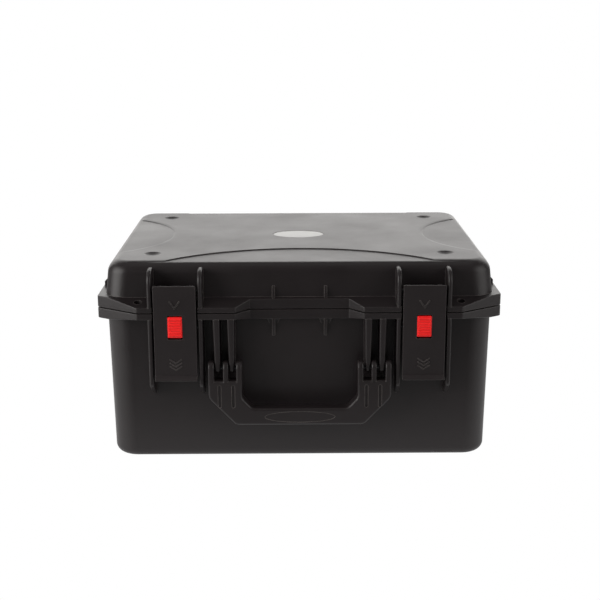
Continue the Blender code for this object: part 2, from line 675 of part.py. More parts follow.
def make_trigger(name, x):
    """Red button, its hub on the trigger pin and a nose under the catch bar."""
    outer = claw_radii()[1]
    face = PLATE_REACH + TRIGGER_PROUD
    back = TRIGGER_PIVOT[0] + TRIGGER_BACK
    button = filleted([(face, TRIGGER_BOTTOM), (face, TRIGGER_TOP, TRIGGER_EDGE), (back, TRIGGER_TOP),
                       (back, TRIGGER_BOTTOM)], 3)
    nose_start = TRIGGER_PIVOT[0] - TRIGGER_NECK
    nose_tip = CATCH_BAR[0] - CLAW_OVERLAP
    tip_low = on_claw(outer + TRIGGER_NOSE, nose_tip)
    arm = [(back + MM, TRIGGER_PIVOT[1] + TRIGGER_ARM_TOP[0]),
           (TRIGGER_PIVOT[0], TRIGGER_PIVOT[1] + TRIGGER_ARM_TOP[1])]
    arm += claw_arc(outer, nose_start, nose_tip)
    arm.append(tip_low)
    arm += [(TRIGGER_PIVOT[0] - behind, TRIGGER_PIVOT[1] - below) for behind, below in TRIGGER_ARM_LOW]
    arm.append((back + MM, TRIGGER_PIVOT[1] - TRIGGER_ARM_END))
    trigger = prism(name, [front(place) for place in button], "X", x - TRIGGER_WIDTH / 2,
                    x + TRIGGER_WIDTH / 2)
    boolean(trigger, "UNION", [prism("arm", [front(place) for place in arm], "X",
                                     x - TRIGGER_ARM_WIDTH / 2, x + TRIGGER_ARM_WIDTH / 2)])
    hole = rod("hole", front(TRIGGER_PIVOT), TRIGGER_PIN_RADIUS + PIN_FIT, "X", x - TRIGGER_WIDTH,
               x + TRIGGER_WIDTH)
    boolean(trigger, "DIFFERENCE", [hole])
    return finish(trigger, "red_abs")


def make_spring(name, x, side):
    """Torsion spring around the trigger pin, on the outer side of the trigger."""
    y_pin, z_pin = front(TRIGGER_PIVOT)
    coil = TRIGGER_PIN_RADIUS + PIN_FIT + 2 * SPRING_WIRE_RADIUS
    start = x + side * (TRIGGER_WIDTH / 2 + SLIDE_FIT + SPRING_WIRE_RADIUS)
    end = x + side * (CHEEK_OFFSET - SLIDE_FIT - SPRING_WIRE_RADIUS)
    steps = int(12 * SPRING_TURNS)
    points = [(start, y_pin + coil, z_pin + SPRING_LEG)]
    for step in range(steps + 1):
        angle = 2 * pi * SPRING_TURNS * step / steps
        points.append((start + (end - start) * step / steps, y_pin + coil * cos(angle),
                       z_pin - coil * sin(angle)))
    points.append((end, y_pin - coil, z_pin - SPRING_LEG))
    curve = bpy.data.curves.new(name, "CURVE")
    curve.dimensions = "3D"
    curve.bevel_depth = SPRING_WIRE_RADIUS
    curve.bevel_resolution = 1
    curve.use_fill_caps = True
    spline = curve.splines.new("POLY")
    spline.points.add(len(points) - 1)
    for target, place in zip(spline.points, points):
        target.co = (*place, 1)
    spring = bpy.data.objects.new(name, curve)
    bpy.context.scene.collection.objects.link(spring)
    return finish(spring, "spring_steel")


def make_handle():
    """Bow-shaped handle: two arms with three prongs each, joined by the grip."""
    y_pin, z_pin = front(HANDLE_PIVOT)
    y_front, y_back = y_pin - HANDLE_THICKNESS / 2, y_pin + HANDLE_THICKNESS / 2
    half = [(HANDLE_OUTER, NOTCH_FLOOR), (HANDLE_OUTER, ARM_BEND, 12 * MM), (GRIP_OUTER, GRIP_BOTTOM, 9 * MM)]
    inner = [(GRIP_INNER, GRIP_TOP, 9 * MM), (HANDLE_INNER, ARM_BEND, 9 * MM), (HANDLE_INNER, NOTCH_FLOOR)]
    outline = half + [(-p[0], *p[1:]) for p in reversed(half)]
    outline += [(-p[0], *p[1:]) for p in reversed(inner)] + inner
    outline = [(p[0], BASE_HEIGHT + p[1], *p[2:]) for p in outline]
    handle = prism("handle", filleted(outline), "Y", y_front, y_back)
    root = BASE_HEIGHT + NOTCH_FLOOR - 4 * MM
    top = arc((y_pin, z_pin), HANDLE_THICKNESS / 2 - FIT / 3, 0, 180, 10)
    prong = [(y_back - FIT / 3, root)] + top + [(y_front + FIT / 3, root)]
    prongs = []
    for near, far in PRONG_RANGES:
        inset_near = near + (FIT / 3 if near == HANDLE_INNER else 0)
        inset_far = far - (FIT / 3 if far == HANDLE_OUTER else 0)
        for side in (-1, 1):
            prongs.append(prism("prong", prong, "X", *sorted((side * inset_near, side * inset_far))))
    boolean(handle, "UNION", prongs)
    holes = []
    for side in (-1, 1):
        ends = sorted((side * (HANDLE_INNER - MM), side * (HANDLE_OUTER + MM)))
        holes.append(rod("hole", (y_pin, z_pin), HANDLE_PIN_RADIUS + PIN_FIT, "X", *ends))
    boolean(handle, "DIFFERENCE", holes)
    return finish(handle, "black_abs", True)


def tray_sizes():
    """Half sizes of the tray's rim, and its lowest and highest z."""
    high = BASE_HEIGHT - TRAY_TOP_GAP
    return HALF_X - WALL - TRAY_CLEARANCE, HALF_Y - WALL - TRAY_CLEARANCE, high - TRAY_HEIGHT, high


def tray_inside():
    """Half sizes of the space inside the tray's walls."""
    rim_x, rim_y = tray_sizes()[:2]
    away = TRAY_RIM + TRAY_DRAFT + TRAY_WALL
    return rim_x - away, rim_y - away


def tray_posts():
    """Posts along the front and rear walls of the base, which the tray rests on."""
    low = tray_sizes()[2]
    posts = []
    for side in (-1, 1):
        for face in (-1, 1):
            xs = sorted((side * POST_X - POST_WIDTH / 2, side * POST_X + POST_WIDTH / 2))
            ys = sorted((face * (HALF_Y - BASE_DRAFT - WALL / 2), face * (HALF_Y - WALL - POST_DEPTH)))
            posts.append(box("post", (xs[0], ys[0], FLOOR / 2), (xs[1], ys[1], low - FIT)))
    return posts


def make_tray():
    """Lift-out tray: a shallow tub with dividers in its front half and guides for the spine."""
    rim_x, rim_y, low, high = tray_sizes()
    radius = CORNER_RADIUS - WALL - TRAY_CLEARANCE
    shelf = high - TRAY_RIM_HEIGHT
    body_x, body_y = rim_x - TRAY_RIM, rim_y - TRAY_RIM
    sections = [(body_x - TRAY_DRAFT, body_y - TRAY_DRAFT, radius - TRAY_RIM, low),
                (body_x, body_y, radius - TRAY_RIM, shelf), (rim_x, rim_y, radius, shelf),
                (rim_x, rim_y, radius, high)]
    tray = loft("tray", sections)
    inside_x, inside_y = tray_inside()
    corner = radius - TRAY_RIM - TRAY_WALL
    cavity = rounded_outline(inside_x, inside_y, corner)
    boolean(tray, "DIFFERENCE", [prism("cavity", cavity, "Z", low + TRAY_WALL, high + MM)])
    root = low + TRAY_WALL / 2
    near = TRAY_SPINE / 2 + FIT
    inner = []
    for column in range(1, TRAY_COLUMNS):
        x = -inside_x + 2 * inside_x * column / TRAY_COLUMNS
        inner.append(box("divider", (x - TRAY_WALL / 2, -inside_y - TRAY_WALL / 2, root),
                         (x + TRAY_WALL / 2, -near, high)))
    for side in (-1, 1):
        xs = sorted((side * (inside_x + TRAY_WALL / 2), side * (inside_x - TRAY_GUIDE)))
        for face in (-1, 1):
            ys = sorted((face * near, face * (near + TRAY_GUIDE)))
            inner.append(box("guide", (xs[0], ys[0], root), (xs[1], ys[1], high)))
    boolean(tray, "UNION", inner)
    return finish(tray, "tray_plastic")


def make_tray_spine():
    """Upright plate along the tray's middle, with a slot for the hand that lifts the tray."""
    low, high = tray_sizes()[2:]
    half = tray_inside()[0] - FIT
    spine = box("tray_spine", (-half, -TRAY_SPINE / 2, low + TRAY_WALL + FIT), (half, TRAY_SPINE / 2, high))
    slot_top = high - TRAY_SLOT_BAR
    slot = box("slot", (-TRAY_SLOT[0] / 2, -TRAY_SPINE, slot_top - TRAY_SLOT[1]),
               (TRAY_SLOT[0] / 2, TRAY_SPINE, slot_top))
    boolean(spine, "DIFFERENCE", [slot])
    return finish(spine, "tray_plastic")


def make_latch(hand, side, lid_axis, base):
    """One latch: lever, trigger, spring and their pins, and the catch bar in the base."""
    x = side * LATCH_X
    lever_axis = axis_empty(f"{hand}_latch_axis", (x, *front(LATCH_PIVOT)), lid_axis)
    trigger_axis = axis_empty(f"{hand}_trigger_axis", (x, *front(TRIGGER_PIVOT)), lever_axis)
    rib_half = LATCH_WIDTH / 2 + LATCH_GAP + LATCH_RIB - FIT
    cheek_half = CHEEK_OFFSET + CHEEK_THICKNESS - FIT
    hang(make_lever(f"latch_{hand}_lever", x), lever_axis)
    hang(make_trigger(f"latch_{hand}_trigger", x), trigger_axis)
    hang(make_spring(f"latch_{hand}_spring", x, side), lever_axis)
    hang(pin(f"latch_{hand}_trigger_pin", front(TRIGGER_PIVOT), TRIGGER_PIN_RADIUS, x - cheek_half,
             x + cheek_half), lever_axis)
    hang(pin(f"latch_{hand}_pin", front(LATCH_PIVOT), LATCH_PIN_RADIUS, x - rib_half, x + rib_half),
         lid_axis)
    hang(pin(f"catch_bar_{hand}", front(CATCH_BAR), CATCH_BAR_RADIUS, x - rib_half, x + rib_half), base)


def build():
    clear_scene()
    base = axis_empty("case_middle", (0, 0, 0), None)
    base.location.y = MIDDLE_Y
    lid_axis = axis_empty("lid_hinge_axis", (0, HALF_Y + HINGE_REACH, BASE_HEIGHT), base)
    handle_axis = axis_empty("handle_axis", (0, *front(HANDLE_PIVOT)), base)
    tray_slide = axis_empty("tray_slide", (0, 0, tray_sizes()[2]), base)
    hang(make_base(), base)
    hang(make_lid(), lid_axis)
    hang(make_seal(), lid_axis)
    hang(make_badge(), lid_axis)
    hang(make_handle(), handle_axis)
    hang(make_tray(), tray_slide)
    hang(make_tray_spine(), tray_slide)
    hinge_half = KNUCKLES * KNUCKLE_PITCH / 2 - 2 * FIT
    for hand, side in (("left", -1), ("right", 1)):
        make_latch(hand, side, lid_axis, base)
        hang(pin(f"handle_pin_{hand}", front(HANDLE_PIVOT), HANDLE_PIN_RADIUS,
                 side * (HANDLE_INNER + 2 * FIT), side * (HANDLE_OUTER - 2 * FIT)), base)
        hang(pin(f"hinge_pin_{hand}", (HALF_Y + HINGE_REACH, BASE_HEIGHT), HINGE_PIN_RADIUS,
                 side * HINGE_X - hinge_half, side * HINGE_X + hinge_half), base)


build()
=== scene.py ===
from math import cos, hypot, pi, radians, sin, sqrt, tan

import bmesh
import bpy
from mathutils import Matrix, Vector


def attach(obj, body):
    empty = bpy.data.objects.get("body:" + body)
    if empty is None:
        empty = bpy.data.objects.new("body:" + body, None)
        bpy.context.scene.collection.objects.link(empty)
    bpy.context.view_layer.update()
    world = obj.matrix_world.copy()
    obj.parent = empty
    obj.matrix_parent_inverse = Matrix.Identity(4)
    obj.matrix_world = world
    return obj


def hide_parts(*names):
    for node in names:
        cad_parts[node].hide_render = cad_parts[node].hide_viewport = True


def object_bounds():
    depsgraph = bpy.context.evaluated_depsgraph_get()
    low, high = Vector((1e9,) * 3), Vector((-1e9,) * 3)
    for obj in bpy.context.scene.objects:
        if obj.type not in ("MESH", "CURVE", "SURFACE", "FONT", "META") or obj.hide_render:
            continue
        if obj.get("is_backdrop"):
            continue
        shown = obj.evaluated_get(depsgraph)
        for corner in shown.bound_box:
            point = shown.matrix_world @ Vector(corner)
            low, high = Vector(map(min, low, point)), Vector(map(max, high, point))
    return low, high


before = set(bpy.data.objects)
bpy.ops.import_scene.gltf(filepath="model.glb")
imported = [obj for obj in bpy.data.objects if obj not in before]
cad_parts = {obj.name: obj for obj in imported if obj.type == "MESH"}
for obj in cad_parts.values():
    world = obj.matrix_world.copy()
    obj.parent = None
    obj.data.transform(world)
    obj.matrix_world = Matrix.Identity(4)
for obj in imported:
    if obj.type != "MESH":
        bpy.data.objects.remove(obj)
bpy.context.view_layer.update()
print("frame loaded")

mm = 0.001

# Everything is made in millimetres from a point in the middle of the shells, 158 below their parting
# line, which lies here in the frame
datum = (0, 3.75, 3.5)

case = {
    "halfX": 197, "halfY": 147, "corner": 25, "parting": 158,
    "wall": 4, "floor": 5,
    "fit": 0.3, "pinFit": 0.35, "slideFit": 0.6,
}
parting = case["parting"]


def arc(centre, radius, start, end, steps):
    angles = [radians(start + (end - start) * step / steps) for step in range(steps + 1)]
    return [(centre[0] + radius * cos(angle), centre[1] + radius * sin(angle)) for angle in angles]


def circle(centre, radius, steps):
    return arc(centre, radius, 0, 360 - 360 / steps, steps - 1)


def oval(halfX, halfY, steps, rise=0):
    return [(halfX * cos(2 * pi * step / steps), rise + halfY * sin(2 * pi * step / steps))
            for step in range(steps)]


def filleted(points, steps=6):
    # a third number turns a corner into an arc of that radius
    outline = []
    for index, point in enumerate(points):
        here = Vector(point[:2])
        if len(point) < 3:
            outline.append(tuple(here))
            continue
        back = (Vector(points[index - 1][:2]) - here).normalized()
        ahead = (Vector(points[(index + 1) % len(points)][:2]) - here).normalized()
        halfAngle = back.angle(ahead) / 2
        centre = here + (back + ahead).normalized() * point[2] / sin(halfAngle)
        along = point[2] / tan(halfAngle)
        start = here + back * along - centre
        turn = start.angle_signed(here + ahead * along - centre)
        for step in range(steps + 1):
            spoke = start.copy()
            spoke.rotate(Matrix.Rotation(-turn * step / steps, 2))
            outline.append(tuple(centre + spoke))
    return outline


def roundedOutline(halfX, halfY, radius, steps=12):
    points = []
    for corner in range(4):
        signX = 1 if corner in (0, 3) else -1
        signY = 1 if corner in (0, 1) else -1
        points += arc((signX * (halfX - radius), signY * (halfY - radius)), radius,
                      corner * 90, corner * 90 + 90, steps)
    return points


def mirrored(right):
    return right + [(-point[0], *point[1:]) for point in reversed(right)]


def extruded(outline, axis, low, high):
    # an outline is (y, z) for X, (x, z) for Y and (x, y) for Z
    slot = "XYZ".index(axis)
    bm = bmesh.new()
    verts = []
    for pair in outline:
        place = list(pair)
        place.insert(slot, low)
        verts.append(bm.verts.new(place))
    bmesh.ops.remove_doubles(bm, verts=bm.verts, dist=1e-4)
    verts = [vert for vert in verts if vert.is_valid]
    face = bm.faces.new(verts)
    push = Vector((0, 0, 0))
    push[slot] = high - low
    grown = bmesh.ops.extrude_face_region(bm, geom=[face])
    bmesh.ops.translate(bm, verts=[v for v in grown["geom"] if isinstance(v, bmesh.types.BMVert)], vec=push)
    bmesh.ops.recalc_face_normals(bm, faces=bm.faces)
    return bm


def soften(bm, offset, segments=3, apart=25, only=None):
    # rounds the edges whose faces turn by more than an angle
    edges = [edge for edge in bm.edges if edge.is_manifold and edge.calc_face_angle() > radians(apart)
             and (only is None or only(edge))]
    if edges:
        bmesh.ops.bevel(bm, geom=edges, offset=offset, segments=segments, profile=0.5, affect="EDGES",
                        material=-1, clamp_overlap=True)
    return bm


def sliced(bm, point, normal):
    cut = bmesh.ops.bisect_plane(bm, geom=bm.verts[:] + bm.edges[:] + bm.faces[:], dist=1e-5,
                                 plane_co=point, plane_no=normal, clear_outer=True)
    edges = [piece for piece in cut["geom_cut"] if isinstance(piece, bmesh.types.BMEdge)]
    bmesh.ops.holes_fill(bm, edges=edges, sides=0)
    bmesh.ops.recalc_face_normals(bm, faces=bm.faces)
    return bm


def lofted(rings, closed=False):
    bm = bmesh.new()
    loops = [[bm.verts.new(place) for place in ring] for ring in rings]
    pairs = list(zip(loops, loops[1:]))
    if closed:
        pairs.append((loops[-1], loops[0]))
    else:
        bm.faces.new(loops[0])
        bm.faces.new(loops[-1])
    for low, high in pairs:
        for index in range(len(low)):
            after = (index + 1) % len(low)
            bm.faces.new((low[index], low[after], high[after], high[index]))
    bmesh.ops.recalc_face_normals(bm, faces=bm.faces)
    return bm


def made(name, bm):
    mesh = bpy.data.meshes.new(name)
    bm.to_mesh(mesh)
    bm.free()
    item = bpy.data.objects.new(name, mesh)
    bpy.context.scene.collection.objects.link(item)
    return item


def combine(target, operation, meshes):
    # joins the meshes to the target or cuts them from it
    group = bpy.data.collections.new("tools")
    tools = [made("tool", bm) for bm in meshes]
    for tool in tools:
        group.objects.link(tool)
    modifier = target.modifiers.new(operation, "BOOLEAN")
    modifier.operation = operation
    modifier.operand_type = "COLLECTION"
    modifier.collection = group
    modifier.solver = "EXACT"
    graph = bpy.context.evaluated_depsgraph_get()
    graph.update()
    mesh = bpy.data.meshes.new_from_object(target.evaluated_get(graph))
    target.modifiers.clear()
    target.data = mesh
    for tool in tools:
        bpy.data.objects.remove(tool, do_unlink=True)
    bpy.data.collections.remove(group)


def rod(centre, radius, low, high, steps=32, axis="X"):
    return extruded(circle(centre, radius, steps), axis, low, high)


def setDown(item, body, node, surface, angle=32):
    # into metres and the frame, then shaded and told what it stands for
    mesh = item.data
    mesh.transform(Matrix.Scale(mm, 4) @ Matrix.Translation(datum))
    mesh.materials.clear()
    mesh.materials.append(surface)
    mesh.polygons.foreach_set("material_index", [0] * len(mesh.polygons))
    mesh.shade_smooth()
    mesh.set_sharp_from_angle(angle=radians(angle))
    normals = item.modifiers.new("normals", "WEIGHTED_NORMAL")
    normals.keep_sharp = True
    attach(item, body)
    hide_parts(node)
    return item


def linear(text):
    values = [int(text[start:start + 2], 16) / 255 for start in (0, 2, 4)]
    return [v / 12.92 if v <= 0.04045 else ((v + 0.055) / 1.055) ** 2.4 for v in values] + [1]


def addNode(tree, kind, settings=None, inputs=None, links=None):
    node = tree.nodes.new("ShaderNode" + kind)
    for name, value in (settings or {}).items():
        setattr(node, name, value)
    for name, value in (inputs or {}).items():
        node.inputs[name].default_value = value
    for name, source in (links or {}).items():
        tree.links.new(source, node.inputs[name])
    return node


def newMaterial(name):
    material = bpy.data.materials.new(name)
    material.use_nodes = True
    tree = material.node_tree
    tree.nodes.clear()
    place = addNode(tree, "TexCoord").outputs["Object"]
    return material, tree, place


def spread(tree, source, low, high, fromLow=0.3, fromHigh=0.7):
    return addNode(tree, "MapRange", inputs={"From Min": fromLow, "From Max": fromHigh, "To Min": low,
                                             "To Max": high}, links={"Value": source}).outputs["Result"]


# where an edge turns by enough within the radius, in mm, its plastic is painted paler there as a painted
# highlight, and made smoother
edgeHighlight = {"radius": 0.9, "samples": 6, "start": 0.995, "full": 0.9, "most": 0.9, "polish": 0.12}


def grainedPlastic(name, colour, colourAlt, highlightColour, roughness, grain, depth):
    # injection moulded, so an even colour with a fine spark-eroded grain from the mould, made
    # smoother along its edges and painted paler there as a painted highlight; the grain is in mm
    material, tree, place = newMaterial(name)
    cells = addNode(tree, "TexVoronoi", {"feature": "SMOOTH_F1"},
                    {"Scale": 1 / (grain * mm), "Smoothness": 0.6}, {"Vector": place})
    fine = addNode(tree, "TexNoise", inputs={"Scale": 0.6 / (grain * mm), "Detail": 3.0},
                   links={"Vector": place})
    height = addNode(tree, "Math", {"operation": "ADD"}, links={0: cells.outputs["Distance"],
                                                             1: fine.outputs["Fac"]})
    rounded = addNode(tree, "Bevel", {"samples": edgeHighlight["samples"]}, {"Radius": edgeHighlight["radius"] * mm})
    flat = addNode(tree, "NewGeometry").outputs["Normal"]
    facing = addNode(tree, "VectorMath", {"operation": "DOT_PRODUCT"},
                     links={0: rounded.outputs["Normal"], 1: flat})
    # noise that breaks up the painted edge highlight
    highlightBreakup = addNode(tree, "TexNoise", inputs={"Scale": 90.0, "Detail": 5.0}, links={"Vector": place})
    edge = spread(tree, facing.outputs["Value"], 0, edgeHighlight["most"], edgeHighlight["start"], edgeHighlight["full"])
    highlightMask = addNode(tree, "Math", {"operation": "MULTIPLY"},
                     links={0: edge, 1: spread(tree, highlightBreakup.outputs["Fac"], 0.5, 1)}).outputs["Value"]
    cloud = addNode(tree, "TexNoise", inputs={"Scale": 14.0, "Detail": 4.0, "Roughness": 0.6},
                    links={"Vector": place}).outputs["Fac"]
    tint = addNode(tree, "Mix", {"data_type": "RGBA"}, {"A": linear(colour), "B": linear(colourAlt)})
    tree.links.new(spread(tree, cloud, 0, 1), tint.inputs["Factor"])
    # painted highlight: the paler colour is mixed in along the rounded edges
    highlighted = addNode(tree, "Mix", {"data_type": "RGBA"}, {"B": linear(highlightColour)}, {"A": tint.outputs["Result"]})
    tree.links.new(highlightMask, highlighted.inputs["Factor"])
    matt = spread(tree, cloud, roughness - 0.04, roughness + 0.04)
    smooth = addNode(tree, "Math", {"operation": "MULTIPLY"}, {1: edgeHighlight["polish"]},
                     {0: highlightMask}).outputs["Value"]
    rough = addNode(tree, "Math", {"operation": "SUBTRACT"}, links={0: matt, 1: smooth}).outputs["Value"]
    bump = addNode(tree, "Bump", inputs={"Strength": 0.5, "Distance": depth * mm},
                   links={"Height": height.outputs["Value"]})
    surface = addNode(tree, "BsdfPrincipled", inputs={"IOR": 1.45},
                      links={"Base Color": highlighted.outputs["Result"], "Roughness": rough,
                             "Normal": bump.outputs["Normal"]})
    out = addNode(tree, "OutputMaterial")
    tree.links.new(surface.outputs["BSDF"], out.inputs["Surface"])
    return material


def drawnSteel(name, colour, roughness):
    # drawn through a die, so fine lines run along the wire or pin
    material, tree, place = newMaterial(name)
    squeeze = addNode(tree, "Mapping", inputs={"Scale": (60, 6000, 6000)}, links={"Vector": place})
    lines = addNode(tree, "TexNoise", inputs={"Scale": 1.0, "Detail": 2.0},
                    links={"Vector": squeeze.outputs["Vector"]})
    bump = addNode(tree, "Bump", inputs={"Strength": 0.25, "Distance": 0.02 * mm},
                   links={"Height": lines.outputs["Fac"]})
    rough = spread(tree, lines.outputs["Fac"], roughness - 0.05, roughness + 0.1)
    surface = addNode(tree, "BsdfPrincipled", inputs={"Base Color": linear(colour), "Metallic": 1.0},
                      links={"Roughness": rough, "Normal": bump.outputs["Normal"]})
    out = addNode(tree, "OutputMaterial")
    tree.links.new(surface.outputs["BSDF"], out.inputs["Surface"])
    return material


# the fourth colour of each is the paler colour of its painted edge highlight
# black ABS of the shells and handle, semi-matt fine pebble grain
shellPlastic = grainedPlastic("shellPlastic", "1b1617", "1f1a1b", "6a6462", 0.42, 0.7, 0.05)
# the same ABS in a smoother mould
latchPlastic = grainedPlastic("latchPlastic", "1f1a1b", "231e1f", "625d5b", 0.38, 0.5, 0.035)
# red ABS, through-dyed, satin
buttonPlastic = grainedPlastic("buttonPlastic", "fb1f20", "f41a1c", "ff4a40", 0.36, 0.4, 0.02)
# solid EPDM cord, dead matt
sealRubber = grainedPlastic("sealRubber", "151515", "1b1b1a", "1f1f1e", 0.82, 0.35, 0.04)
# pale grey blank plate, moulded plastic, satin
badgePlastic = grainedPlastic("badgePlastic", "9c9c9a", "969694", "b0b0ae", 0.34, 0.3, 0.01)
# dark grey polypropylene of the tray, matt
trayPlastic = grainedPlastic("trayPlastic", "35363a", "3a3b3f", "505156", 0.55, 0.8, 0.05)
# black-oxide pins, and bright music wire
pinSteel = drawnSteel("pinSteel", "3c3c3e", 0.36)
springSteel = drawnSteel("springSteel", "b9babd", 0.24)


shells = {
    "baseRim": 157.6, "lidRim": 158.4, "lidTop": 205, "bottom": -3.5, "lidGrowth": 1.5, "lidCorner": 22,
    "baseLean": 2.4, "lidLean": 4.4, "baseEdge": 9, "lidEdge": 12,
    "baseFlange": 147, "lidFlange": 170,
    "baseRise": 4.5, "lidDrop": 6.3,
    "latchReach": 21.5, "flangeEdge": 0.7,
    # walls and ribs start inside the flanges, and the hollows are cut from past them
    "baseRoot": 152.5, "lidRoot": 162, "baseMouth": 169, "lidMouth": 146,
    "ribEdge": 1.9, "ribProud": 0.1, "ribBack": -144,
}
gusset = {
    "x": 26.3, "y": 95, "half": 1.5, "bury": 3, "reachX": 7, "reachY": 4, "edge": 0.6,
    "tip": 3.4, "shoulder": 0.45, "flareShort": 2, "flareRise": 4, "flareTip": 0.6,
}
padlock = {"x": 162, "y": -157, "radius": 4}
latchPlan = {"x": 124.2, "half": 21.2, "gap": 1.6, "rib": 4.6}
pivots = {
    # y and z of the pins, from the shells' middle and the floor
    "latch": (-158, 178), "catch": (-157, 142), "trigger": (-163.8, 134.5), "handle": (-164.5, 100.5),
    "hinge": (159.5, 158),
}
pinRadii = {"latch": 2, "catch": 2, "trigger": 1.25, "handle": 2, "hinge": 2.5}
hinge = {
    "x": 110, "pitch": 12, "count": 5, "radius": 6.5, "webY": 150, "webRise": 9,
    "pinHalf": 29.4, "boreHalf": 31,
}
ribFront = -case["halfY"] - shells["latchReach"] - shells["ribProud"]


def block(zRim, zEnd, lean, edge, inset, corner, steps=12):
    # a box with leaning walls, round corners and a round edge at its far end
    bm = bmesh.new()
    bmesh.ops.create_cube(bm, size=2)
    for vert in bm.verts:
        atEnd = (vert.co.z > 0) == (zEnd > zRim)
        away = inset + (lean if atEnd else 0)
        vert.co = (vert.co.x * (case["halfX"] - away), vert.co.y * (case["halfY"] - away),
                   zEnd if atEnd else zRim)
    soften(bm, corner, steps, 60, lambda edge: abs(edge.verts[0].co.z - edge.verts[1].co.z) > 1)
    soften(bm, edge, 8, 60, lambda side: all(abs(vert.co.z - zEnd) < 0.01 for vert in side.verts))
    bmesh.ops.recalc_face_normals(bm, faces=bm.faces)
    return bm


def flangePlan():
    notch = latchPlan["half"] + latchPlan["gap"] - case["fit"]
    front = -case["halfY"] - shells["latchReach"]
    x = latchPlan["x"]
    return filleted(mirrored([
        (50, -152, 1.5), (64.3, front, 2), (x - notch, front, 0.8), (x - notch, -154, 1.5),
        (x + notch, -154, 1.5), (x + notch, front, 0.8), (162, front, 4), (205, -140, 5),
        (205, 136, 6), (189, 152, 6)]))


def flange(rim, edge, drop):
    away = 1 if edge > rim else -1
    bm = extruded(flangePlan(), "Z", min(rim, edge), max(rim, edge))
    for side in (-1, 1):
        sliced(bm, (0, side * case["halfY"], edge), (0, side * drop, away * shells["latchReach"]))
    return soften(bm, shells["flangeEdge"], 3)


def latchRibs(outline):
    inner = latchPlan["half"] + latchPlan["gap"]
    ribs = []
    for side in (-1, 1):
        for hand in (-1, 1):
            near = side * latchPlan["x"] + hand * inner
            ends = sorted((near, near + hand * latchPlan["rib"]))
            ribs.append(soften(extruded(outline, "X", *ends), shells["ribEdge"], 3))
    return ribs


def knuckles(first):
    y, z = pivots["hinge"]
    down = -1 if first == 0 else 1
    outline = [(y + across, z - down * up) for across, up in arc((0, 0), hinge["radius"], 180, -90, 20)]
    outline += [(hinge["webY"], z + down * hinge["webRise"]), (hinge["webY"], z + down)]
    barrels = []
    for side in (-1, 1):
        for index in range(first, hinge["count"], 2):
            start = side * hinge["x"] + (index - hinge["count"] / 2) * hinge["pitch"]
            barrels.append(soften(extruded(outline, "X", start + case["fit"],
                                           start + hinge["pitch"] - case["fit"]), 0.5, 2, 40))
    return barrels


def gussets(height, root, flare):
    # webs between flange and wall, whose feet flare out along the flange
    tools = []
    for side in (-1, 1):
        for face in (-1, 1):
            for slot, axis, half, reach, along in (
                    (0, "X", case["halfY"], gusset["reachY"], side * gusset["x"]),
                    (1, "Y", case["halfX"], gusset["reachX"], face * gusset["y"])):
                out = face if axis == "X" else side
                wall, reach = half - gusset["bury"], half + reach
                outline = [(out * wall, root), (out * reach, root),
                           (out * reach, root + (height - root) * gusset["shoulder"]),
                           (out * (wall + gusset["tip"]), height), (out * wall, height)]
                bm = extruded(outline, axis, along - gusset["half"], along + gusset["half"])
                tools.append(soften(bm, gusset["edge"], 2))
                if flare:
                    top = height + gusset["flareRise"]
                    flared = [(out * wall, root), (out * (reach - gusset["flareShort"]), root),
                              (out * wall, top)]
                    bm = extruded(flared, axis, along - flare, along + flare)
                    for vert in bm.verts:
                        if abs(vert.co.z - top) < 0.1:
                            tip = gusset["flareTip"] if vert.co[slot] > along else -gusset["flareTip"]
                            vert.co[slot] = along + tip
                    tools.append(bm)
    return tools


def pinHole(kind, reach, centres=(0,)):
    radius = pinRadii[kind] + case["pinFit"]
    return [rod(pivots[kind], radius, centre - reach, centre + reach) for centre in centres]


def padlockHoles(low, high):
    return [rod((side * padlock["x"], padlock["y"]), padlock["radius"], low, high, axis="Z")
            for side in (-1, 1)]


def handleRib(inner, outer, innerGrowth, outerGrowth, side):
    # carries the handle pin, wider towards the flange
    zPin, radius, top = pivots["handle"][1], handleRibRadius, shells["baseRoot"]
    zLow = zPin - radius
    outline = [(ribFront, top)] + arc((ribFront + radius, zPin), radius, 180, 270, 8)
    outline += [(shells["ribBack"], zLow), (shells["ribBack"], top)]
    bm = extruded(outline, "X", inner, outer)
    for vert in bm.verts:
        share = (vert.co.z - zLow) / (top - zLow)
        vert.co.x += share * (outerGrowth if vert.co.x > (inner + outer) / 2 else -innerGrowth)
        vert.co.x *= side
    bmesh.ops.recalc_face_normals(bm, faces=bm.faces)
    return soften(bm, shells["ribEdge"], 3)


latchCentres = (-latchPlan["x"], latchPlan["x"])
ribReach = latchPlan["half"] + latchPlan["gap"] + latchPlan["rib"] + 1
# inner and outer face of each rib that carries the handle, and how far they spread at the flange
handleRibs = ((79.9, 85.5, 0, 1.5), (66.1, 71.1, 1, 1.5))
handleRibRadius = 6
handlePins = {"near": 58.8, "far": 91.9, "middle": 75.3, "boreHalf": 18}
baseRib = {"bend": 82, "foot": 67, "footY": -147}
posts = {"x": 150, "half": 10, "outer": 143.5, "inner": 121, "top": 116.7, "corner": 3, "edge": 0.6}


def handleBores():
    return pinHole("handle", handlePins["boreHalf"], (-handlePins["middle"], handlePins["middle"]))


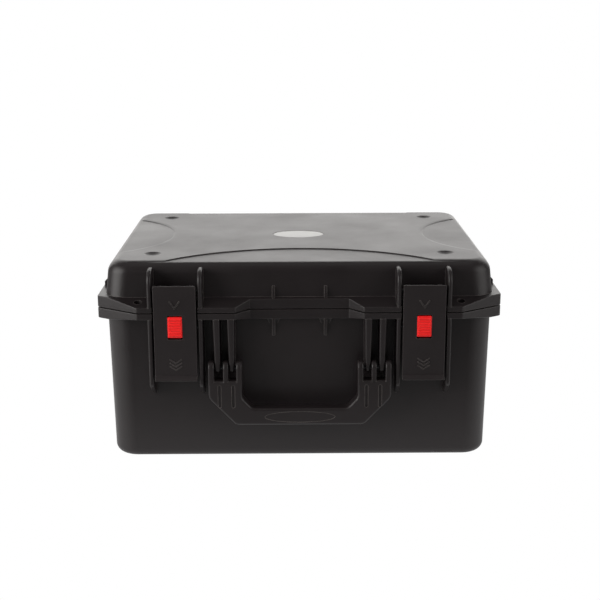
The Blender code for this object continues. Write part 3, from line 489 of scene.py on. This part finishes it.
def makeBase():
    root, back = shells["baseRoot"], shells["ribBack"]
    base = made("baseShell", block(root, shells["bottom"], shells["baseLean"], shells["baseEdge"], 0,
                                   case["corner"]))
    rib = filleted([(ribFront, root), (ribFront, baseRib["bend"], 6),
                    (baseRib["footY"], baseRib["foot"], 4), (back, baseRib["foot"]), (back, root)])
    joined = [flange(shells["baseRim"], shells["baseFlange"], shells["baseRise"])] + latchRibs(rib)
    joined += [handleRib(*sizes, side) for sizes in handleRibs for side in (-1, 1)]
    joined += knuckles(0) + gussets(129, 148, 6.5)
    combine(base, "UNION", joined)
    cuts = [block(shells["baseMouth"], shells["bottom"] + case["floor"], shells["baseLean"],
                  shells["baseEdge"] - 2, case["wall"], case["corner"] - case["wall"])]
    cuts += padlockHoles(126, shells["baseMouth"])
    cuts += pinHole("hinge", hinge["boreHalf"], (-hinge["x"], hinge["x"]))
    cuts += pinHole("catch", ribReach, latchCentres)
    cuts += handleBores()
    combine(base, "DIFFERENCE", cuts)
    supports = []
    for side in (-1, 1):
        for face in (-1, 1):
            left, right = side * posts["x"] - posts["half"], side * posts["x"] + posts["half"]
            far, near = face * posts["outer"], face * posts["inner"]
            plan = [(left, far), (right, far), (right, near, posts["corner"]),
                    (left, near, posts["corner"])]
            supports.append(soften(extruded(filleted(plan), "Z", 0, posts["top"]), posts["edge"], 2))
    combine(base, "UNION", supports)
    return setDown(base, "base", "base_shell", shellPlastic)


lidTop = {
    "badgeX": 28, "badgeY": 19, "badgeDepth": 1.2, "badgeFit": 0.35,
    "stackX": 152, "stackY": 102, "stackRadius": 9, "stackDepth": 2.5,
    "step": 1.15, "stepAngle": 39, "lip": (24, 1.2), "lipAngle": (12, 2),
    "frontRadius": 188.6, "frontApex": 78, "sideRadius": 109.7, "sideApex": 140,
}


def turned(place, profile, steps):
    # a solid of revolution, its profile a list of (radius, z) from its lower to its upper face
    return lofted([[(x, y, z) for x, y in circle(place, radius, steps)] for radius, z in profile])


def stepSlope(lip, turn):
    # (distance, height) from the foot of a step to its top, where the panel rolls over before it falls
    top, fall = shells["lidTop"], radians(lidTop["stepAngle"])
    roll = [(-lip * sin(turn * share), top - lip + lip * cos(turn * share))
            for share in (1, 0.75, 0.5, 0.25)]
    run = (roll[0][1] - top + lidTop["step"]) / tan(fall)
    return [(roll[0][0] - run, top - lidTop["step"])] + roll + [(0.1, top + 0.004), (0.2, top + 5)]


def lidTopCuts():
    # the badge and stacking recesses, and the curved fields that lie below the middle panel
    top = shells["lidTop"]
    fit = lidTop["badgeFit"]
    cuts = [extruded(oval(lidTop["badgeX"] + fit, lidTop["badgeY"] + fit, 64), "Z",
                     top - lidTop["badgeDepth"], top + 5)]
    depth, reach = lidTop["stackDepth"], lidTop["stackRadius"]
    bowl = (reach ** 2 + depth ** 2) / (2 * depth)
    dish = [(reach * share, top - depth + bowl - sqrt(bowl ** 2 - (reach * share) ** 2))
            for share in (0.05, 0.3, 0.5, 0.7, 0.85, 0.95)]
    dish += [(reach + 0.05, top - 0.12), (reach + 0.6, top + 0.01), (reach + 1, top + 5)]
    for side in (-1, 1):
        for face in (-1, 1):
            cuts.append(turned((side * lidTop["stackX"], face * lidTop["stackY"]), dish, 48))
        for axis, radius, apex in ((0, lidTop["sideRadius"], lidTop["sideApex"]),
                                   (1, lidTop["frontRadius"], lidTop["frontApex"])):
            place = [0, 0]
            place[axis] = side * (apex + radius)
            slope = stepSlope(lidTop["lip"][axis], radians(lidTop["lipAngle"][axis]))
            cuts.append(turned(place, [(radius - slope[0][0] + grow, z) for grow, z in slope], 192))
    return cuts


def sealRing(width, low, high, rounding):
    # a cord section carried round the rim on the walls' line
    half = width / 2
    section = filleted([(half, low, rounding), (half, high, rounding), (-half, high, rounding),
                        (-half, low, rounding)], 4)
    corner = shells["lidCorner"] - shells["lidGrowth"]
    rings = []
    for grow, z in section:
        plan = roundedOutline(case["halfX"] + grow, case["halfY"] + grow, corner + grow)
        rings.append([(x, y, z) for x, y in plan])
    return lofted(rings, closed=True)


lidRib = {"top": 201, "round": 13, "topBack": -146.6, "back": -140.6, "backTop": 195}
# width, low, high and corner of the seal's groove, then of the seal
groove, seal = (4.7, 157.4, 162.25, 0.4), (4, 158.05, 161.95, 1.2)


def makeLid():
    root, top = shells["lidRoot"], shells["lidTop"]
    lid = made("lidShell", block(root, top, shells["lidLean"], shells["lidEdge"], -shells["lidGrowth"],
                                 shells["lidCorner"]))
    rib = filleted([(ribFront, root), (ribFront, lidRib["top"], lidRib["round"]),
                    (lidRib["topBack"], lidRib["top"]), (lidRib["back"], lidRib["backTop"]),
                    (lidRib["back"], root)], 10)
    joined = [flange(shells["lidRim"], shells["lidFlange"], shells["lidDrop"])] + latchRibs(rib)
    joined += knuckles(1) + gussets(181, 169, 0)
    combine(lid, "UNION", joined)
    cuts = [block(shells["lidMouth"], top - case["wall"], shells["lidLean"], shells["lidEdge"] - 2,
                  case["wall"] - shells["lidGrowth"], shells["lidCorner"] - case["wall"])]
    cuts += padlockHoles(shells["lidMouth"], 193)
    cuts += pinHole("hinge", hinge["boreHalf"], (-hinge["x"], hinge["x"]))
    cuts += pinHole("latch", ribReach, latchCentres)
    cuts.append(sealRing(*groove))
    cuts += lidTopCuts()
    combine(lid, "DIFFERENCE", cuts)
    return setDown(lid, "lid", "lid_shell", shellPlastic)


makeBase()
print("base made")
makeLid()
print("lid made")

setDown(made("lidSeal", sealRing(*seal)), "lid", "lid_seal", sealRubber)


badge = {"low": 204.1, "thick": 0.85, "edge": 0.4, "dome": 0.12}


def makeBadge():
    rings = []
    low, high = badge["low"], badge["low"] + badge["thick"]
    profile = [(0, low), (0, high - badge["edge"] - badge["dome"])]
    profile += [(badge["edge"] * (1 - cos(turn)), high - badge["dome"] - badge["edge"] * (1 - sin(turn)))
                for turn in (pi / 8, pi / 4, 3 * pi / 8, pi / 2)]
    profile += [(6, high - badge["dome"] / 3), (14, high)]
    for inset, z in profile:
        rings.append([(x, y, z) for x, y in oval(lidTop["badgeX"] - inset, lidTop["badgeY"] - inset, 96)])
    return setDown(made("lidBadge", lofted(rings)), "lid", "lid_badge", badgePlastic)


makeBadge()


def pin(name, kind, low, high, body, node):
    # a plain pin with chamfered ends
    bm = rod(pivots[kind], pinRadii[kind], low, high, 40)
    soften(bm, 0.35, 2, 60)
    return setDown(made(name, bm), body, node, pinSteel)


spring = {"wire": 0.35, "turns": 3.5, "leg": 9.5, "coil": 2.3, "gap": 0.6, "bend": 1.0}
plate = {"front": -170, "back": -167, "top": 186.2, "bottom": 94, "lip": 89, "lipFront": -173.5}
cheeks = {
    "inner": 14, "outer": 18, "lug": 6.5, "back": -156.5, "overlap": 3.6, "claw": 4.5,
    "front": -168.5, "toe": -165.5, "web": 1.4, "belly": ((5, -3), (1, -10)),
}
button = {
    "half": 7.2, "low": 132, "foot": 134, "high": 155, "front": -171.4, "back": -165.5, "gap": 0.4,
    "topGap": 1.3, "windowCorner": 0.9, "ridges": 7, "ridgeStart": 2.2, "ridgeMargin": 5,
    "ridgeRadius": 1.0, "ridgeInset": 0.35, "ridgeEnd": 1.3,
}
# the trigger's arm, which reaches from the button round its pin to under the catch bar
arm = {
    "root": 1, "top": 5, "hubTop": 4.3, "start": 2.8, "claw": 3, "belly": ((4, -2), (1.5, -3)),
    "low": 2.2, "half": 5,
}
marks = {
    "proud": 0.8, "sunk": 0.5, "pressHalf": 5, "pressHigh": 171, "pressLow": 164, "pressWidth": 1.2,
    "pullHalf": 6, "pullHigh": 111, "pullLow": 107, "pullWidth": 1.0, "pullDrops": (0, 3.6, 7.2),
}


def makeSpring(name, x, side, body, node):
    # torsion spring around the trigger pin, its legs against the lever and the trigger
    y, z = pivots["trigger"]
    start = x + side * (button["half"] + spring["gap"] + spring["wire"])
    end = x + side * (cheeks["inner"] - spring["gap"] - spring["wire"])
    steps = int(24 * spring["turns"])
    points = [(start, y + spring["coil"], z + spring["leg"]),
              (start, y + spring["coil"], z + spring["bend"])]
    for step in range(steps + 1):
        angle = 2 * pi * spring["turns"] * step / steps
        points.append((start + (end - start) * step / steps, y + spring["coil"] * cos(angle),
                       z - spring["coil"] * sin(angle)))
    points += [(end, y - spring["coil"], z - spring["bend"]),
               (end, y - spring["coil"], z - spring["leg"])]
    curve = bpy.data.curves.new(name, "CURVE")
    curve.dimensions = "3D"
    curve.bevel_depth = spring["wire"]
    curve.bevel_resolution = 3
    curve.use_fill_caps = True
    spline = curve.splines.new("POLY")
    spline.points.add(len(points) - 1)
    for target, place in zip(spline.points, points):
        target.co = (*place, 1)
    source = bpy.data.objects.new("wire", curve)
    bpy.context.scene.collection.objects.link(source)
    mesh = bpy.data.meshes.new_from_object(source)
    bpy.data.objects.remove(source, do_unlink=True)
    bpy.data.curves.remove(curve)
    bm = bmesh.new()
    bm.from_mesh(mesh)
    bmesh.ops.remove_doubles(bm, verts=bm.verts, dist=1e-4)
    bmesh.ops.recalc_face_normals(bm, faces=bm.faces)
    return setDown(made(name, bm), body, node, springSteel, 60)


def onClaw(radius, y):
    # the point of a circle about the latch pin, below it
    yPin, zPin = pivots["latch"]
    return y, zPin - sqrt(radius ** 2 - (y - yPin) ** 2)


def clawArc(radius, start, end, steps=6):
    return [onClaw(radius, start + (end - start) * step / steps) for step in range(steps + 1)]


clawFar = hypot(pivots["latch"][0] - pivots["catch"][0], pivots["latch"][1] - pivots["catch"][1])
clawInner = clawFar - pinRadii["catch"] - case["slideFit"]
clawOuter = clawFar + pinRadii["catch"] + case["fit"]
clawTip = pivots["catch"][0] + cheeks["overlap"]


def cheekOutline():
    slotEnd = pivots["catch"][0] - pinRadii["catch"] - case["slideFit"]
    yTrigger, zTrigger = pivots["trigger"]
    outline = [(cheeks["front"], pivots["latch"][1] + cheeks["lug"])]
    outline += [(y, z) for y, z in arc(pivots["latch"], cheeks["lug"], 90, -35, 14)]
    outline += [(cheeks["back"], pivots["latch"][1] - cheeks["web"] * cheeks["lug"])]
    outline += clawArc(clawInner, cheeks["back"], slotEnd, 4)
    outline += clawArc(clawOuter, slotEnd, clawTip)
    outline.append(onClaw(clawOuter + cheeks["claw"], clawTip))
    outline += [(yTrigger + out, zTrigger + up) for out, up in cheeks["belly"]]
    return outline + [(cheeks["toe"], plate["bottom"] + 2), (cheeks["front"], plate["bottom"])]


def stroke(points, width, low, high):
    # a raised bar along a bent line in the plate's face
    middle = [Vector(point) for point in points]
    left, right = [], []
    for index, here in enumerate(middle):
        ways = []
        if index:
            ways.append((here - middle[index - 1]).normalized())
        if index < len(middle) - 1:
            ways.append((middle[index + 1] - here).normalized())
        way = sum(ways, Vector((0, 0))).normalized()
        grow = width / 2 / max(0.3, way.dot(ways[0]))
        left.append(here + Vector((-way.y, way.x)) * grow)
        right.append(here - Vector((-way.y, way.x)) * grow)
    return soften(extruded([tuple(p) for p in left + right[::-1]], "Y", low, high), 0.15, 2)


def latchMarks(x):
    # plain arrow marks that show which way to press and pull
    low, high = plate["front"] - marks["proud"], plate["front"] + marks["sunk"]
    half, base = marks["pressHalf"], marks["pressHigh"]
    arrows = [stroke([(x - half, base), (x, marks["pressLow"]), (x + half, base)], marks["pressWidth"],
                     low, high)]
    half = marks["pullHalf"]
    for drop in marks["pullDrops"]:
        base = marks["pullHigh"] - drop
        arrows.append(stroke([(x - half, base), (x, marks["pullLow"] - drop), (x + half, base)],
                             marks["pullWidth"], low, high))
    return arrows


def makeLever(hand, x):
    front, back, lip = plate["front"], plate["back"], plate["lip"]
    outline = filleted([(front, plate["top"], 1.2), (front, plate["bottom"], 2),
                        (plate["lipFront"], lip + 1.5, 0.8), (plate["lipFront"], lip, 0.5),
                        (front + 0.5, lip, 0.4), (back, plate["bottom"] - 1.5, 0.5),
                        (back, plate["top"], 0.4)], 4)
    body = extruded(outline, "X", x - latchPlan["half"], x + latchPlan["half"])
    lever = made(f"latch{hand}Lever", soften(body, 0.9, 4, 60))
    sides = []
    for turn in (-1, 1):
        ends = sorted((x + turn * cheeks["inner"], x + turn * cheeks["outer"]))
        sides.append(soften(extruded(cheekOutline(), "X", *ends), 0.4, 2, 60))
    combine(lever, "UNION", sides + latchMarks(x))
    left, right = x - button["half"] - button["gap"], x + button["half"] + button["gap"]
    low, high = button["low"] - button["gap"], button["high"] + button["topGap"]
    corner = button["windowCorner"]
    window = filleted([(left, low, corner), (right, low, corner), (right, high, corner),
                       (left, high, corner)])
    reach = cheeks["outer"] + 1
    combine(lever, "DIFFERENCE", [extruded(window, "Y", front - 1, back + 1)]
            + pinHole("latch", reach, (x,)) + pinHole("trigger", reach, (x,)))
    body = f"latch_{hand.lower()}"
    return setDown(lever, body, f"{body}_lever", latchPlastic)


def makeTrigger(hand, x):
    # a ridged button, a hub on the trigger pin and a nose under the catch bar
    yTrigger, zTrigger = pivots["trigger"]
    face = filleted([(button["front"], button["foot"], 1.2), (button["front"], button["high"], 1.5),
                     (button["back"], button["high"]), (button["back"], button["low"])], 5)
    key = extruded(face, "X", x - button["half"], x + button["half"])
    trigger = made(f"latch{hand}Trigger", soften(key, 1.1, 4, 60))
    root = button["back"] - arm["root"]
    outline = [(root, zTrigger + arm["top"]), (yTrigger, zTrigger + arm["hubTop"])]
    outline += clawArc(clawOuter, yTrigger + arm["start"], clawTip)
    outline.append(onClaw(clawOuter + arm["claw"], clawTip))
    outline += [(yTrigger + out, zTrigger + up) for out, up in arm["belly"]]
    outline.append((root, zTrigger - arm["low"]))
    joined = [soften(extruded(outline, "X", x - arm["half"], x + arm["half"]), 0.3, 2, 60)]
    span = button["high"] - button["foot"] - button["ridgeMargin"]
    for row in range(button["ridges"]):
        z = button["foot"] + button["ridgeStart"] + span * row / (button["ridges"] - 1)
        profile = arc((button["front"] + button["ridgeInset"], z), button["ridgeRadius"], 100, 260, 8)
        ridge = extruded(profile, "X", x - button["half"] + button["ridgeEnd"],
                         x + button["half"] - button["ridgeEnd"])
        joined.append(soften(ridge, 0.2, 2, 60))
    combine(trigger, "UNION", joined)
    combine(trigger, "DIFFERENCE", pinHole("trigger", button["half"] * 2, (x,)))
    return setDown(trigger, f"trigger_{hand.lower()}", f"latch_{hand.lower()}_trigger",
                   buttonPlastic)


for hand, side in (("Left", -1), ("Right", 1)):
    x = side * latchPlan["x"]
    low = hand.lower()
    makeLever(hand, x)
    makeTrigger(hand, x)
    makeSpring(f"latch{hand}Spring", x, side, f"latch_{low}", f"latch_{low}_spring")
    reach = ribReach - 1 - case["fit"]
    pin(f"latch{hand}Pin", "latch", x - reach, x + reach, "lid", f"latch_{low}_pin")
    pin(f"catchBar{hand}", "catch", x - reach, x + reach, "base", f"catch_bar_{low}")
    reach = cheeks["outer"] - case["fit"]
    pin(f"latch{hand}TriggerPin", "trigger", x - reach, x + reach, f"latch_{low}",
        f"latch_{low}_trigger_pin")
    ends = sorted((side * handlePins["near"], side * handlePins["far"]))
    pin(f"handlePin{hand}", "handle", *ends, "base", f"handle_pin_{low}")
    middle, reach = side * hinge["x"], hinge["pinHalf"]
    pin(f"hingePin{hand}", "hinge", middle - reach, middle + reach, "base", f"hinge_pin_{low}")
print("latches, pins and springs made")


handle = {
    "front": -172, "back": -157, "outer": 92.5, "inner": 58.2, "gripOuter": 65, "gripInner": 48,
    "notch": 88.3, "bend": 70, "top": 59, "bottom": 41.2, "edge": 2.7, "prongEdge": 1.7,
    "prongs": ((86.2, 92.4), (72.0, 77.4), (58.3, 64.1)), "prongRadius": 7.4, "prongRoot": 6,
    "grooves": (67.2, 81.0), "grooveHalf": 1.6, "grooveRound": 1.5, "grooveLow": 60, "grooveHigh": 84,
    "grooveDepth": 1.0, "padHalf": 35.5, "padRise": 5.6, "padMiddle": 50.1, "padDepth": 0.4,
}


def makeHandle():
    right = [(handle["inner"], handle["notch"], 3.2), (handle["inner"], handle["bend"], 9),
             (handle["gripInner"], handle["top"], 9)]
    outer = [(handle["gripOuter"], handle["bottom"], 9), (handle["outer"], handle["bend"], 12),
             (handle["outer"], handle["notch"], 3.2)]
    outline = mirrored(outer[::-1])
    outline += [(-point[0], *point[1:]) for point in right] + right[::-1]
    bow = extruded(filleted(outline, 10), "Y", handle["front"], handle["back"])
    soften(bow, handle["edge"], 5, 60, lambda edge: abs(edge.verts[0].co.y - edge.verts[1].co.y) < 0.01)
    item = made("handle", bow)
    y, z = pivots["handle"]
    root = handle["notch"] - handle["prongRoot"]
    profile = [(y + handle["prongRadius"], root)] + arc((y, z), handle["prongRadius"], 0, 180, 24)
    profile += [(y - handle["prongRadius"], root)]
    prongs = [soften(extruded(profile, "X", *sorted((side * near, side * far))), handle["prongEdge"], 3)
              for near, far in handle["prongs"] for side in (-1, 1)]
    combine(item, "UNION", prongs)
    cuts = handleBores()
    low, high, corner = handle["grooveLow"], handle["grooveHigh"], handle["grooveRound"]
    for side in (-1, 1):
        for x in handle["grooves"]:
            left, right = side * x - handle["grooveHalf"], side * x + handle["grooveHalf"]
            outline = filleted([(left, low, corner), (right, low, corner), (right, high, corner),
                                (left, high, corner)])
            cuts.append(extruded(outline, "Y", handle["front"] - 1,
                                 handle["front"] + handle["grooveDepth"]))
    pad = oval(handle["padHalf"], handle["padRise"], 64, handle["padMiddle"])
    cuts.append(extruded(pad, "Y", handle["front"] - 1, handle["front"] + handle["padDepth"]))
    combine(item, "DIFFERENCE", cuts)
    return setDown(item, "handle", "handle", shellPlastic)


makeHandle()
print("handle made")


tray = {
    "rimX": 185, "rimY": 135, "corner": 13, "low": 117, "high": 155, "rim": 2, "rimHeight": 3, "draft": 2,
    "wall": 2, "spine": 2, "columns": 3, "guide": 3, "slotHalf": 45, "slot": (132, 147), "slotRound": 5,
    "divider": 1, "edge": 0.4,
}
trayInsideX = tray["rimX"] - tray["rim"] - tray["draft"] - tray["wall"]
trayInsideY = tray["rimY"] - tray["rim"] - tray["draft"] - tray["wall"]


def makeTray():
    # a tub with dividers in its front half and guides for the spine
    bodyX, bodyY = tray["rimX"] - tray["rim"], tray["rimY"] - tray["rim"]
    radius, shelf = tray["corner"], tray["high"] - tray["rimHeight"]
    sections = [(bodyX - tray["draft"], bodyY - tray["draft"], radius - 2, tray["low"]),
                (bodyX, bodyY, radius - 2, shelf), (tray["rimX"], tray["rimY"], radius, shelf),
                (tray["rimX"], tray["rimY"], radius, tray["high"])]
    body = lofted([[(x, y, z) for x, y in roundedOutline(halfX, halfY, corner)]
                   for halfX, halfY, corner, z in sections])
    soften(body, 0.7, 3, 40, lambda edge: abs(edge.verts[0].co.z - edge.verts[1].co.z) < 0.01)
    item = made("tray", body)
    cavity = extruded(roundedOutline(trayInsideX, trayInsideY, radius - 4), "Z", tray["low"] + tray["wall"],
                      tray["high"] + 3)
    soften(cavity, 2.5, 5, 60, lambda edge: all(vert.co.z < tray["low"] + 2.1 for vert in edge.verts))
    combine(item, "DIFFERENCE", [cavity])
    near = tray["spine"] + case["fit"]
    inner = []
    for column in range(1, tray["columns"]):
        x = -trayInsideX + 2 * trayInsideX * column / tray["columns"]
        left, right, front = x - tray["divider"], x + tray["divider"], -trayInsideY - 1
        plan = [(left, front), (right, front), (right, -near), (left, -near)]
        inner.append(soften(extruded(plan, "Z", tray["low"] + 1, tray["high"]), tray["edge"], 2))
    for side in (-1, 1):
        xs = sorted((side * (trayInsideX + 1), side * (trayInsideX - tray["guide"])))
        for face in (-1, 1):
            ys = sorted((face * near, face * (near + tray["guide"])))
            plan = [(xs[0], ys[0]), (xs[1], ys[0]), (xs[1], ys[1]), (xs[0], ys[1])]
            inner.append(soften(extruded(plan, "Z", tray["low"] + 1, tray["high"]), tray["edge"], 2))
    combine(item, "UNION", inner)
    return setDown(item, "tray", "tray", trayPlastic)


def makeSpine():
    # the upright plate with the hand slot
    half, thick = trayInsideX - case["fit"], tray["spine"]
    plan = [(-half, -thick), (half, -thick), (half, thick), (-half, thick)]
    upright = extruded(plan, "Z", tray["low"] + tray["wall"] + case["fit"], tray["high"])
    item = made("traySpine", soften(upright, 0.8, 3))
    low, high = tray["slot"]
    half, corner = tray["slotHalf"], tray["slotRound"]
    slot = filleted([(-half, low, corner), (half, low, corner), (half, high, corner),
                     (-half, high, corner)], 8)
    combine(item, "DIFFERENCE", [extruded(slot, "Y", -8, 8)])
    return setDown(item, "tray", "tray_spine", trayPlastic)


makeTray()
makeSpine()
print("tray made")


stage = {
    "world": 0.07, "back": 2.0, "left": 4.4, "right": 1.9, "top": 0.5, "fill": 2.4,
    "floorGrey": 0.25, "floorGlow": (0.65, 0.03), "glowReach": (0.9, 1.9), "glowShape": (1.6, 5.4, 1),
    "lens": 69.45, "sensor": 36, "eye": (-0.0073, -1.27495, 0.4623), "eyeTurn": (75.5, 0.17, -0.44),
}


def emptyWorld():
    # white to the camera, dim to everything else, so that the softboxes do the lighting
    world = bpy.data.worlds.new("studio")
    bpy.context.scene.world = world
    world.use_nodes = True
    tree = world.node_tree
    tree.nodes.clear()
    seen = addNode(tree, "LightPath").outputs["Is Camera Ray"]
    strength = addNode(tree, "MapRange", inputs={"To Min": stage["world"], "To Max": 1.0},
                       links={"Value": seen}).outputs["Result"]
    back = addNode(tree, "Background", inputs={"Color": (1, 1, 1, 1)}, links={"Strength": strength})
    out = addNode(tree, "OutputWorld")
    tree.links.new(back.outputs["Background"], out.inputs["Surface"])


def softbox(name, place, aim, width, height, radiance, glossy=True):
    light = bpy.data.lights.new(name, "AREA")
    light.shape = "RECTANGLE"
    light.size, light.size_y = width, height
    light.energy = radiance * pi * width * height
    light.color = (1, 0.985, 0.965)
    item = bpy.data.objects.new(name, light)
    item.location = place
    item.rotation_euler = (Vector(aim) - Vector(place)).to_track_quat("-Z", "Y").to_euler()
    item.visible_camera = False
    item.visible_glossy = glossy
    bpy.context.scene.collection.objects.link(item)


def makeFloor():
    bm = bmesh.new()
    bmesh.ops.create_grid(bm, x_segments=1, y_segments=1, size=6)
    floor = made("floor", bm)
    material, tree, place = newMaterial("paleFloor")
    seen = addNode(tree, "LightPath").outputs["Is Camera Ray"]
    # back-lit paper, bright under the case and dimmer further out
    squeeze = addNode(tree, "Mapping", inputs={"Scale": stage["glowShape"]}, links={"Vector": place})
    away = addNode(tree, "VectorMath", {"operation": "LENGTH"}, links={0: squeeze.outputs["Vector"]})
    shine = spread(tree, away.outputs["Value"], *stage["floorGlow"], *stage["glowReach"])
    paper = addNode(tree, "BsdfPrincipled", inputs={
        "Base Color": (stage["floorGrey"],) * 3 + (1,), "Roughness": 0.9, "Emission Color": (1, 1, 1, 1)},
        links={"Emission Strength": shine})
    white = addNode(tree, "Emission", inputs={"Color": (1, 1, 1, 1), "Strength": 1.0})
    mix = addNode(tree, "MixShader", links={"Fac": seen, 1: paper.outputs["BSDF"],
                                            2: white.outputs["Emission"]})
    out = addNode(tree, "OutputMaterial")
    tree.links.new(mix.outputs["Shader"], out.inputs["Surface"])
    floor.data.materials.append(material)
    floor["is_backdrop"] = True


makeFloor()
emptyWorld()
softbox("backLight", (0, 2.0, 0.9), (0, 0, 0.15), 4.5, 2.2, stage["back"])
softbox("leftLight", (-1.5, -0.75, 0.6), (0, -0.1, 0.12), 1.5, 1.4, stage["left"])
softbox("rightLight", (1.5, -0.75, 0.6), (0, -0.1, 0.12), 1.5, 1.4, stage["right"])
softbox("topLight", (0, -0.1, 1.9), (0, 0, 0.1), 1.6, 1.2, stage["top"])
softbox("frontFill", (0, -1.3, 2.1), (0, -0.1, 0.1), 1.8, 0.8, stage["fill"], False)

camera = bpy.data.objects.new("camera", bpy.data.cameras.new("camera"))
camera.data.lens = stage["lens"]
camera.data.sensor_width = stage["sensor"]
camera.location = stage["eye"]
camera.rotation_euler = [radians(angle) for angle in stage["eyeTurn"]]
bpy.context.scene.collection.objects.link(camera)
bpy.context.scene.camera = camera
bpy.context.scene.view_settings.view_transform = "Standard"
print("stage set")

low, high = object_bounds()
